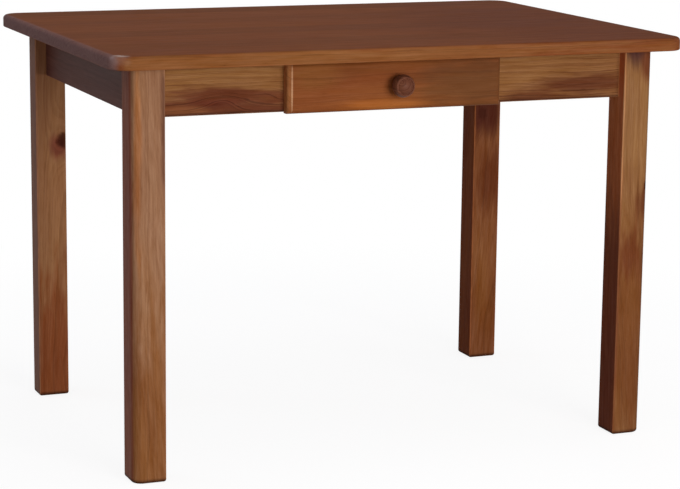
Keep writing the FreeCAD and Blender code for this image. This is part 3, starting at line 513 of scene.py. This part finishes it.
# ---------------------------------------------------------------- Drawer slides
# The drawer runs on two pine runners between two guides, and kickers above keep it from tipping when it is
# pulled out. They stay bare, and each is screwed in place.

bare_deep = pine("bare_pine_deep", "Y", pith=(0.05, 0, 0.62), **BARE)
for kind in ("runner", "guide", "kicker"):
    finish(bare_deep, f"drawer_{kind}_left", f"drawer_{kind}_right")
finish(yellow_zinc, "runner_screws", "kicker_screws")

# ---------------------------------------------------------------- Drawer front and knob
# A pine board with a rounded outline laps over the window. The knob is turned from darker stained wood, with
# a bead round its face, and a machine screw holds it from inside.

low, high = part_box("drawer_front")
DRAWER_FACE = (low.y - high.y) / 2
finish(pine(
    "drawer_front", "X", pith=(0.015, 0.0895, -0.044), pale=(144, 82, 44), dark=(120, 63, 32), depth=0.3,
    streaks=0.5, gloss=0.015, box=(low, high), wear=0.3,
    patches=[((0.155, DRAWER_FACE, 0.046), (0.13, 0.05, 0.06), 1.5, (118, 72, 42)),
             ((-0.085, DRAWER_FACE, 0.078), (0.14, 0.05, 0.014), 1.5, (134, 77, 39)),
             ((-0.155, DRAWER_FACE, 0.068), (0.05, 0.05, 0.030), 1.4, (146, 90, 46)),
             ((-0.035, DRAWER_FACE, 0.010), (0.09, 0.05, 0.013), 1.3, (172, 100, 48)),
             # Painted light: the left end is lighter, standing in for light that falls on it.
             ((-0.207, 0, 0.045), (0.008, 0.03, 0.08), 0.4, (190, 126, 78)),
             # A pale line on the left arris: worn stain with a painted highlight.
             ((-0.1985, DRAWER_FACE + 0.0005, 0.045), (0.0017, 0.004, 0.052), 0.3, (210, 158, 118))],
), "drawer_front")
finish(pine("drawer_knob", "Y", pith=(-0.02, 0, 0.70), pale=(116, 69, 49), dark=(86, 47, 34), ring=0.003,
            depth=0.5, streaks=0.6, sheen=0.4, gloss=0.08), "drawer_knob")
finish(bright_zinc, "knob_screw")
finish(yellow_zinc, "front_screws")

# ---------------------------------------------------------------- Drawer box
# Thin bare pine boards, nailed at the corners. The plywood bottom slides into grooves and is nailed up into
# the back.

finish(bare_deep, "drawer_side_left", "drawer_side_right")
finish(pine("bare_pine_long", "X", pith=(0, 0.2, 0.62), **BARE), "drawer_inner_front", "drawer_back")
finish(pine("birch_plywood", "X", pith=(0, 0.3, 0.2), pale=(218, 190, 148), dark=(202, 168, 122), ring=0.012,
            depth=0.5, wander=0.06, streaks=0.6, clouds=0.3, sheen=0.6, gloss=0.2), "drawer_bottom")
finish(plated("plain_steel", (150, 152, 156), (110, 112, 116), 0.45), "box_nails", "bottom_nails")

# ---------------------------------------------------------------- Studio
# A pale floor, soft lamps and a white background. The camera stands where the table is seen from.


def looked_at(tree):
    """1 where a surface is seen, straight, in a gloss or through glass, and 0 where it lights the object."""
    path = tree.nodes.new("ShaderNodeLightPath").outputs
    seen = calc(tree, "MAXIMUM", path["Is Camera Ray"], path["Is Glossy Ray"])
    return calc(tree, "MAXIMUM", seen, path["Is Transmission Ray"])


# The floor throws back light as grey paint does. Where it is looked at, it glows nearly white with a little
# shading for the table's shadow, and plain white further out. From below it can be seen through.
WHITE = (1, 1, 1, 1)
FLOOR_PAINT, FLOOR_SHADING, FLOOR_GLOW = (0.4, 0.4, 0.4, 1), (0.25, 0.25, 0.25, 1), 0.88
SHADOW_FADES, SHADOW_GONE = 0.9, 1.8  # metres from the middle of the floor
bpy.ops.mesh.primitive_plane_add(size=60)
floor = bpy.context.object
floor.name = "studio_floor"
made = bpy.data.materials.new("studio_floor")
made.use_nodes = True
tree = made.node_tree
tree.nodes.clear()
geometry = tree.nodes.new("ShaderNodeNewGeometry").outputs
distance = vector_calc(tree, "LENGTH", geometry["Position"], result="Value")
paint = wire(tree, "BsdfDiffuse", {"Color": FLOOR_PAINT})[0]
shaded = wire(tree, "BsdfDiffuse", {"Color": FLOOR_SHADING})[0]
glow = wire(tree, "Emission", {"Color": WHITE, "Strength": FLOOR_GLOW})[0]
near = wire(tree, "AddShader", {0: shaded, 1: glow})[0]
far = wire(tree, "Emission", {"Color": WHITE, "Strength": 1.0})[0]
white = wire(tree, "MixShader", {0: fade(tree, distance, SHADOW_FADES, SHADOW_GONE), 1: near, 2: far})[0]
above = wire(tree, "MixShader", {0: looked_at(tree), 1: paint, 2: white})[0]
below = wire(tree, "BsdfTransparent")[0]
sided = wire(tree, "MixShader", {0: geometry["Backfacing"], 1: above, 2: below})[0]
wire(tree, "OutputMaterial", {"Surface": sided})
floor.data.materials.append(made)

ROOM_LIGHT = (0.24, 0.24, 0.255, 1)
world = bpy.data.worlds.new("studio")
bpy.context.scene.world = world
world.use_nodes = True
tree = world.node_tree
tree.nodes.clear()
room = lay(tree, looked_at(tree), ROOM_LIGHT, WHITE)
background = wire(tree, "Background", {"Color": room, "Strength": 1.0})[0]
wire(tree, "OutputWorld", {"Surface": background})


def lamp(name, at, aim, size, power, colour=(1, 1, 1)):
    """A soft box at a place in metres, aimed at a point."""
    light = bpy.data.lights.new(name, "AREA")
    light.shape, light.size, light.size_y = "RECTANGLE", *size
    light.energy, light.color = power, colour
    made = bpy.data.objects.new(name, light)
    bpy.context.collection.objects.link(made)
    made.location = at
    made.rotation_euler = (Vector(aim) - Vector(at)).to_track_quat("-Z", "Y").to_euler()


WARM, COOL = (1, 0.97, 0.93), (0.62, 0.78, 1)
lamp("key_light", (0.7, -4.5, 1.0), (0, 0, 0.45), (2.4, 1.8), 104, WARM)
lamp("fill_light", (-1.6, -4.5, 0.55), (0, 0, 0.5), (1.2, 0.9), 20, WARM)
lamp("ceiling_light", (0.3, -0.4, 3.0), (0, 0, 0.7), (2.2, 1.6), 9)
lamp("cool_light", (-2.6, 1.6, 2.6), (0, 0, 0.6), (0.9, 0.9), 6, COOL)
lamp("back_light", (1.8, 4.2, 0.36), (0, 0, 0.4), (2.4, 0.6), 28)

EYE = (-1.65347, -4.11512, 1.21577)
HEADING, TILT, ROLL = (math.radians(angle) for angle in (22.16, 11.26, 0.65))
camera = bpy.data.cameras.new("camera")
camera.sensor_width, camera.lens = 36, 123.117
camera.dof.use_dof = False
camera.clip_end = 100
viewpoint = bpy.data.objects.new("camera", camera)
bpy.context.collection.objects.link(viewpoint)
upright = Matrix.Rotation(math.pi / 2 - TILT, 4, "X")
turn = Matrix.Rotation(-HEADING, 4, "Z") @ upright @ Matrix.Rotation(ROLL, 4, "Z")
viewpoint.matrix_world = Matrix.Translation(EYE) @ turn
bpy.context.scene.camera = viewpoint
bpy.context.scene.view_settings.view_transform = "Standard"
